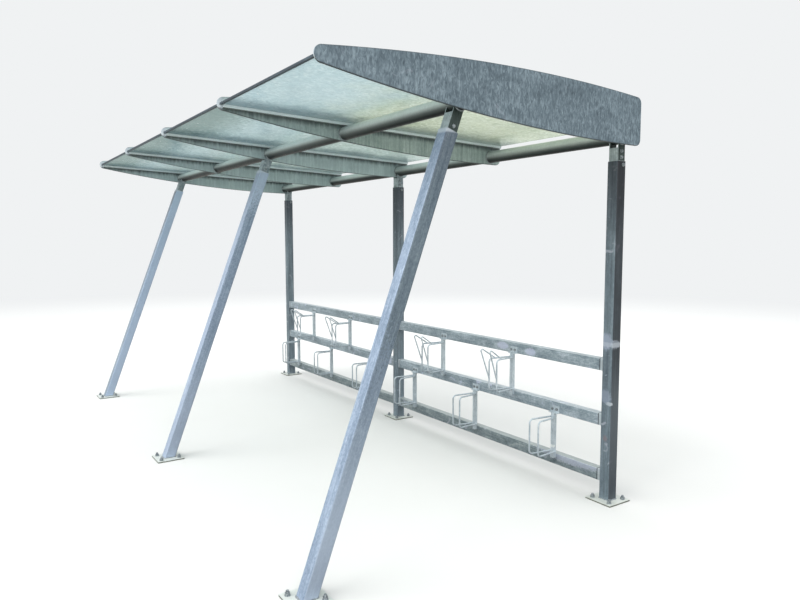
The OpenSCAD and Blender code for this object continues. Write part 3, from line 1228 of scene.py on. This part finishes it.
@dataclass
class Studio:
    """Camera, floor, lamps and soft light."""

    lens: float = 29.79
    sensor: float = 36.0
    sight: float = 300.0
    eye: Triple = (5.276, -2.4095, 1.721)
    yaw: float = math.radians(33.748)
    pitch: float = math.radians(-5.221)
    roll: float = math.radians(-0.087)
    pale: Colour = seen(240, 242, 243)
    floor_colour: Colour = seen(222, 222, 219)
    # Light the floor bounces back: dimmer under the roof, partly painted shade of the ground there.
    bounce_near: Colour = seen(92, 92, 88)
    bounce_far: Colour = seen(196, 196, 190)
    floor_reach: float = 60.0
    under_x: Pair = (2.6, 3.4)
    under_y: Pair = (1.2, 1.9)
    floor_fade: Pair = (5.0, 17.0)
    floor_cloud: Triple = (1.5, 1.5, 1.5)
    cells: int = 8
    daylight: Colour = (0.96, 0.98, 1.0)
    lamp_colour: Colour = (1.0, 0.99, 0.97)

    def camera(self) -> None:
        """Makes the camera: it looks along -x turned by the yaw towards +y."""
        data = bpy.data.cameras.new("camera")
        data.lens, data.sensor_width, data.clip_end = self.lens, self.sensor, self.sight
        way = Vector((-math.cos(self.yaw) * math.cos(self.pitch),
                      math.sin(self.yaw) * math.cos(self.pitch), math.sin(self.pitch)))
        right = way.cross(Vector(TOP)).normalized()
        up = right.cross(way)
        sine, cosine = math.sin(self.roll), math.cos(self.roll)
        stand = Matrix((right * cosine + up * sine, up * cosine - right * sine, -way))
        made = linked("camera", data)
        made.matrix_world = Matrix.Translation(self.eye) @ stand.transposed().to_4x4()
        bpy.context.scene.camera = made

    def _plain_ray(self, graph: Graph) -> Signal:
        """1 for camera and transmission rays, which see the pale backdrop."""
        return graph.maths("MAXIMUM", *(graph.out("LightPath", None, f"Is {kind} Ray")
                                        for kind in ("Camera", "Transmission")))

    def world(self) -> None:
        """Makes the soft light: strongest from above and from the shelter's open front."""
        world = bpy.data.worlds.new("studio")
        bpy.context.scene.world = world
        world.use_nodes = True
        graph = Graph(world.node_tree)
        way = graph.out("TexCoord", None, "Generated")
        side, depth, height = (graph.value("SeparateXYZ", {0: way}, axis)
                               for axis in range(3))
        level = (graph.band(height, -0.1, 0.75) * 1.25 + graph.band(depth, 0.5, -0.9) * 0.45
                 + graph.band(side, 0.0, 1.0) * 0.15 + 0.04)
        soft, pale = (graph.out("Background", {"Color": colour, "Strength": strength})
                      for colour, strength in ((self.daylight, level), (self.pale, 1.0)))
        both = graph.blend_shaders(self._plain_ray(graph), soft, pale)
        graph.node("OutputWorld", {"Surface": both})

    def lamp(self, name: str, energy: float, spread: float, way: Triple) -> None:
        """Makes a wide soft lamp.

        Args:
            name: the lamp's name.
            energy: its strength.
            spread: the angle it fills, in degrees.
            way: the direction from the shelter to the lamp.
        """
        data = bpy.data.lights.new(name, "SUN")
        data.energy, data.angle, data.color = energy, math.radians(spread), self.lamp_colour
        made = linked(name, data)
        made.rotation_mode = "QUATERNION"
        made.rotation_quaternion = Vector(way).to_track_quat("Z", "Y")

    def floor(self) -> None:
        """Makes the pale floor, which fades into the backdrop and reflects less under the roof,
        partly as painted shade.
        """
        count = self.cells + 1
        side = np.linspace(-self.floor_reach, self.floor_reach, count)
        points = np.stack([*np.meshgrid(side, side, indexing="ij"), np.zeros((count, count))], -1)
        mesh = bpy.data.meshes.new("floor")
        faces = grid_faces(count, count, False, False)
        mesh.from_pydata(points.reshape(-1, 3).tolist(), [], faces.tolist())
        paint = Paint("pale_floor")
        clouds = paint.noise(self.floor_cloud, 3.0)
        colour = paint.mix((clouds - 0.5) * 0.3 + 0.1, self.floor_colour, self.pale)
        # Painted shade, in part: the floor bounces less light under the roof.
        outside = paint.maths("MAXIMUM", paint.band(abs(paint.across(0)), *self.under_x),
                              paint.band(abs(paint.across(1)), *self.under_y))
        bounce = paint.mix(outside, self.bounce_near, self.bounce_far)
        matt, dim = (paint.out("BsdfDiffuse", {"Color": shade})
                     for shade in (colour, bounce))
        glow = paint.out("Emission", {"Color": self.pale})
        far = paint.band(paint.measure("LENGTH", paint.place), *self.floor_fade)
        pale = paint.blend_shaders(far, matt, glow)
        mesh.materials.append(paint.close(paint.blend_shaders(self._plain_ray(paint), dim, pale)))
        made = linked("floor", mesh)

    def build(self) -> None:
        """Makes the whole studio and sets the plain view."""
        self.camera()
        self.world()
        self.lamp("key", 1.4, 50.0, (-0.2, -0.9, 0.75))
        self.lamp("side", 0.75, 40.0, (1.0, -0.2, 0.2))
        self.floor()
        bpy.context.scene.view_settings.view_transform = "Standard"


# ---- finishes of the nodes

PLAN = Plan()
RING = seen(206, 214, 222)
LILAC = seen(204, 210, 230)
# Painted shade on the faces that look down.
UNDERSIDE_SHADE = Layer(seen(142, 148, 142), 0.9, True, DOWN, 0.15, 0.75)
# Painted shade on the end-facing sides of the last posts and heads.
LAST_SIDE_SHADE = {"way": END, "axis": 0, "start": 1.0, "full": 1.5}

# Base plates: a painted highlight on the pale top, and damp, mossy edges darkened also by painted
# shade.
FOOT = (Fade(seen(222, 226, 218), 0.85, start=0.0112, full=0.0102),
        Fade(seen(74, 80, 58), 0.85, start=0.0085, full=0.005, ragged=0.6))

# Roof plates: pale ledges under the glass as a painted highlight, painted shade under them with a
# ragged lower edge, and dark lines along the top and bottom edges, the bottom one painted shade.
LEDGE = {"within": PLAN.rafter_x[-1] + 2.5 * MM}
LEDGE_LINE = {**LEDGE, "height": PLAN.ledge_line, "fall": math.tan(PLAN.glass_fall)}
# Painted shade under the ledges, then a painted highlight on the ledges.
PLATE = (Slope(seen(34, 42, 46), 0.8, outer=-0.045, edge_waver=0.05, **LEDGE_LINE),
         Slope(seen(240, 252, 255), 1.0, inner=0.0001, outer=0.06, cut=0.0006, **LEDGE_LINE),
         Fade(seen(176, 184, 194), 0.6, axis=1, start=-1.025, full=-1.045, **LEDGE),
         # A dark line along the top edge, and painted shade along the bottom edge.
         Arc(seen(84, 92, 96), 0.45, middle=(0.1945, -9.361), radius=12.0),
         Arc(seen(44, 52, 54), 0.8, middle=(1.1965, 15.202), radius=12.9), UNDERSIDE_SHADE)

FINISHES = {
    # Leaning posts: smooth, pale and blue, a little darker near the roof, with painted light and
    # shade on their sides and fronts.
    "front_post": Zinc(
        "front_post_zinc", seen(98, 116, 136), seen(141, 158, 180), seen(184, 199, 216),
        streak=(0.011, 0.011, 0.5), streak_share=0.4, feather=(0.008, 0.008, 0.022),
        feather_share=0.55, crystal_share=0.2, cloud=(0.1, 0.1, 0.4), cloud_share=0.35,
        bloom_from=0.72, relief=0.1, rough=0.42, turn=PLAN.lean,
        layers=(
            Fade(seen(232, 230, 232), 0.8, True, start=1.8, full=2.25, ragged=0.1),
            # Painted shade on the end-facing side of the last post, and painted light low down on
            # the end-facing sides.
            Fade(seen(206, 208, 206), 1.0, True, **LAST_SIDE_SHADE),
            Fade(seen(196, 210, 230), 0.5, way=END, start=1.1, full=0.15),
            # Painted shade on the middle of the last post's side, and painted light at the top of
            # the first two posts' sides.
            Mark(seen(206, 210, 204), 0.8, True, END, centre=(2.54, -0.4, 1.75),
                 reach=(0.3, 0.6, 0.7)),
            Mark(seen(196, 214, 236), 0.6, way=END, centre=(-1.25, -0.25, 2.3),
                 reach=(2.2, 0.6, 0.45)),
            # Painted light on the first post's side, painted shade on its front, and painted light
            # on the middle post's front.
            Fade(seen(190, 210, 236), 0.6, way=END, axis=0, start=-1.0, full=-2.0),
            Fade(seen(222, 222, 216), 0.9, True, FRONT, axis=0, start=-1.0, full=-2.0),
            Mark(seen(204, 216, 234), 0.22, way=FRONT, centre=(0.0, -0.8, 1.1),
                 reach=(0.5, 1.6, 1.6)),
            Fade(RING, 0.6, start=2.264, full=2.280), *FOOT)),
    # Upright posts: painted shade at the top, and the darkest painted shade on the side of the last
    # one.
    "rear_post": Zinc(
        "rear_post_zinc", seen(78, 90, 100), seen(110, 125, 134), seen(146, 160, 169),
        streak=(0.014, 0.014, 0.5), streak_share=0.6, feather=(0.008, 0.008, 0.05),
        feather_share=0.35, cloud=(0.1, 0.1, 0.3), rough=0.5, relief=0.12,
        layers=(
            # Painted shade at the top and on the last post's end-facing side, and a little painted
            # light low on the end-facing sides.
            Fade(seen(160, 156, 162), 0.9, True, start=1.5, full=2.15, ragged=0.1),
            Fade(seen(122, 122, 126), 1.0, True, **LAST_SIDE_SHADE),
            Fade(seen(150, 162, 172), 0.15, way=END, start=1.0, full=0.6),
            Mark(seen(168, 178, 200), 0.6, centre=(2.49, 1.0585, 1.06), reach=(0.05, 0.02, 0.06)),
            Mark(seen(176, 184, 196), 0.4, centre=(2.54, 1.085, 1.045), reach=(0.02, 0.05, 0.03)),
            Mark(RING, 0.3, centre=(2.5, 1.0985, 1.0417), reach=(0.2, 0.2, 0.016)),
            Mark(seen(168, 178, 200), 0.4, centre=(2.495, 1.0585, 0.70), reach=(0.045, 0.02, 0.05)),
            Mark(RING, 0.6, centre=(2.525, 1.0585, 0.6552), reach=(0.03, 0.02, 0.014)),
            Mark(seen(150, 116, 118), 0.4, centre=(2.50, 1.0585, 0.4208),
                 reach=(0.016, 0.01, 0.022)), *FOOT)),
    # Channels under the purlins: painted shade on the cheeks of the last heads and underneath,
    # paler on the webs.
    "head": Zinc(
        "head_zinc", seen(84, 98, 104), seen(140, 154, 160), seen(196, 206, 210),
        streak=(0.008, 0.008, 0.1), feather=(0.008, 0.008, 0.012), cloud=(0.05,) * 3,
        cloud_share=0.7, rough=0.55, relief=0.35,
        layers=(
            Layer(seen(196, 206, 208), 0.3, way=(0.0, -0.94, 0.35)),
            # Painted shade on the end-facing cheeks of the last heads, and more on the front one's
            # cheek.
            Fade(seen(98, 110, 102), 1.0, True, **LAST_SIDE_SHADE),
            Mark(seen(120, 132, 124), 0.9, True, END, centre=(2.54, -0.73, 2.41),
                 reach=(0.1, 0.1, 0.07)), UNDERSIDE_SHADE)),
    # Purlins: smooth and glossy, with painted shade underneath, deeper on the left half.
    "purlin": Zinc(
        "purlin_zinc", seen(168, 178, 178), seen(198, 208, 207), seen(222, 230, 229),
        streak=(1.2, 0.02, 0.02), streak_share=0.3, feather=(0.012, 0.1, 0.1),
        feather_share=0.2, cloud=(0.2, 0.1, 0.1), cloud_share=0.25, bloom_from=0.75,
        rough=0.4, metal=0.05, mirror=0.12, relief=0.06,
        layers=(
            # Painted shade on the faces that look down, deeper on the left half.
            Layer(seen(62, 70, 68), 0.9, True, DOWN, -0.25, 0.6),
            Layer(seen(98, 106, 106), 1.0, True, DOWN, 0.5, 0.95),
            Fade(seen(116, 128, 132), 1.0, True, DOWN, -0.1, 0.6, axis=0, start=0.6, full=-0.6))),
    # Outer roof plate on the right: teal-grey with soft upright feathers.
    "roof_plate_5": Zinc(
        "end_plate_zinc", seen(58, 71, 80), seen(98, 114, 124), seen(142, 158, 167),
        streak=(0.02, 0.012, 0.14), streak_share=0.25, feather=(0.02, 0.015, 0.036),
        feather_share=0.7, cloud=(0.25, 0.2, 0.1), cloud_share=0.3,
        crystal=(0.012, 0.011, 0.022), crystal_share=0.22, bloom_share=0.15, rough=0.5,
        relief=0.15, layers=PLATE),
    # Other roof plates: paler, with long streaks.
    "roof_plate": Zinc(
        "inner_plate_zinc", seen(120, 137, 138), seen(158, 175, 174), seen(196, 211, 208),
        streak=(0.02, 0.02, 0.5), streak_share=0.6, feather=(0.012, 0.012, 0.06),
        feather_share=0.35, cloud=(0.3, 0.25, 0.1), cloud_share=0.4, bloom_share=0.2,
        rough=0.5, relief=0.15,
        layers=(Fade(seen(206, 224, 230), 0.35, axis=0, start=1.2, full=0.2), *PLATE)),
    # Rails: brushed along their length, with smooth lilac patches, dirty low down, a painted
    # highlight on top and painted shadow beside the posts.
    "rail": Zinc(
        "rail_zinc", seen(98, 114, 124), seen(148, 163, 172), seen(204, 215, 222),
        streak=(0.4, 0.012, 0.009), streak_share=0.4, feather=(0.022, 0.012, 0.012),
        feather_share=0.5, cloud=(0.14, 0.06, 0.06), cloud_share=0.6, bloom=LILAC,
        bloom_size=(0.12, 0.07, 0.09), bloom_from=0.6, bloom_share=0.7, rough=0.42, relief=0.12,
        layers=(
            # Painted highlight on the top faces.
            Layer(seen(226, 232, 232), 0.4, way=TOP),
            Fade(seen(220, 220, 212), 0.8, True, start=0.45, full=0.25, ragged=0.1),
            Mark(LILAC, 0.5, way=FRONT, centre=(2.2, 1.07, 0.22), reach=(0.35, 0.1, 0.07)),
            Mark(LILAC, 0.5, way=FRONT, centre=(1.3, 1.07, 0.27), reach=(0.25, 0.1, 0.05)),
            Ends(seen(204, 212, 216), 0.6),
            # Painted shadow in the gap beside each post.
            Ends(seen(44, 52, 58), 0.8, near=0.064, far=0.069),
            Mark(LILAC, 0.7, centre=(1.50, 1.0685, 0.905), reach=(0.07, 0.02, 0.03)),
            Mark(LILAC, 0.7, centre=(1.80, 1.0685, 0.895), reach=(0.06, 0.02, 0.03)))),
    # Wheel holders: light, with a pale band where a bar meets the lower hoops.
    "holder": Zinc(
        "holder_zinc", seen(150, 163, 172), seen(190, 202, 209), seen(222, 231, 236),
        streak=(0.01, 0.01, 0.2), feather=(0.008, 0.008, 0.02), cloud=(0.08,) * 3,
        rough=0.4, metal=0.2, relief=0.15,
        layers=(Mark(seen(236, 240, 240), 0.9, centre=(2.053, 1.0435, 0.2575),
                     reach=(0.05, 0.02, 0.012)),)),
    # Edge channels: dull and nearly black.
    "glass_edge": Zinc(
        "edge_channel_zinc", seen(34, 46, 56), seen(50, 64, 74), seen(80, 96, 106),
        streak=(0.3, 0.02, 0.02), feather=(0.03, 0.01, 0.01), cloud_share=0.3,
        bloom_from=0.9, rough=0.55, metal=0.15, relief=0.1),
    "glass_pane": CloudedGlass()}


def dress(finishes: dict[str, Zinc | CloudedGlass]) -> None:
    """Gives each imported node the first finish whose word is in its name.

    Args:
        finishes: the finishes by their words.
    """
    materials = {word: finish.make() for word, finish in finishes.items()}
    for name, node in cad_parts.items():
        material = next(materials[word] for word in materials if word in name)
        if not node.material_slots:
            node.data.materials.append(material)
        for slot in node.material_slots:
            slot.material = material
        LOG.info("%s: %s", name, material.name)


def main() -> None:
    """Builds the studio, the finishes and the small pieces in order."""
    logging.basicConfig(level=logging.INFO, format="%(name)s %(message)s")
    Studio().build()
    dress(FINISHES)
    bolts = Hardware("bolt_zinc").make()
    welds = Hardware("weld_zinc", seen(160, 168, 172), seen(112, 120, 124), 0.5, 0.35).make()
    Feet(PLAN).build(bolts, welds)
    Heads(PLAN).build(bolts, welds)
    PurlinWelds(PLAN).build(welds)
    Glazing(PLAN).build(Sealant().make())
    HolderFixings(PLAN).build(bolts)


if __name__ == "__main__":
    main()
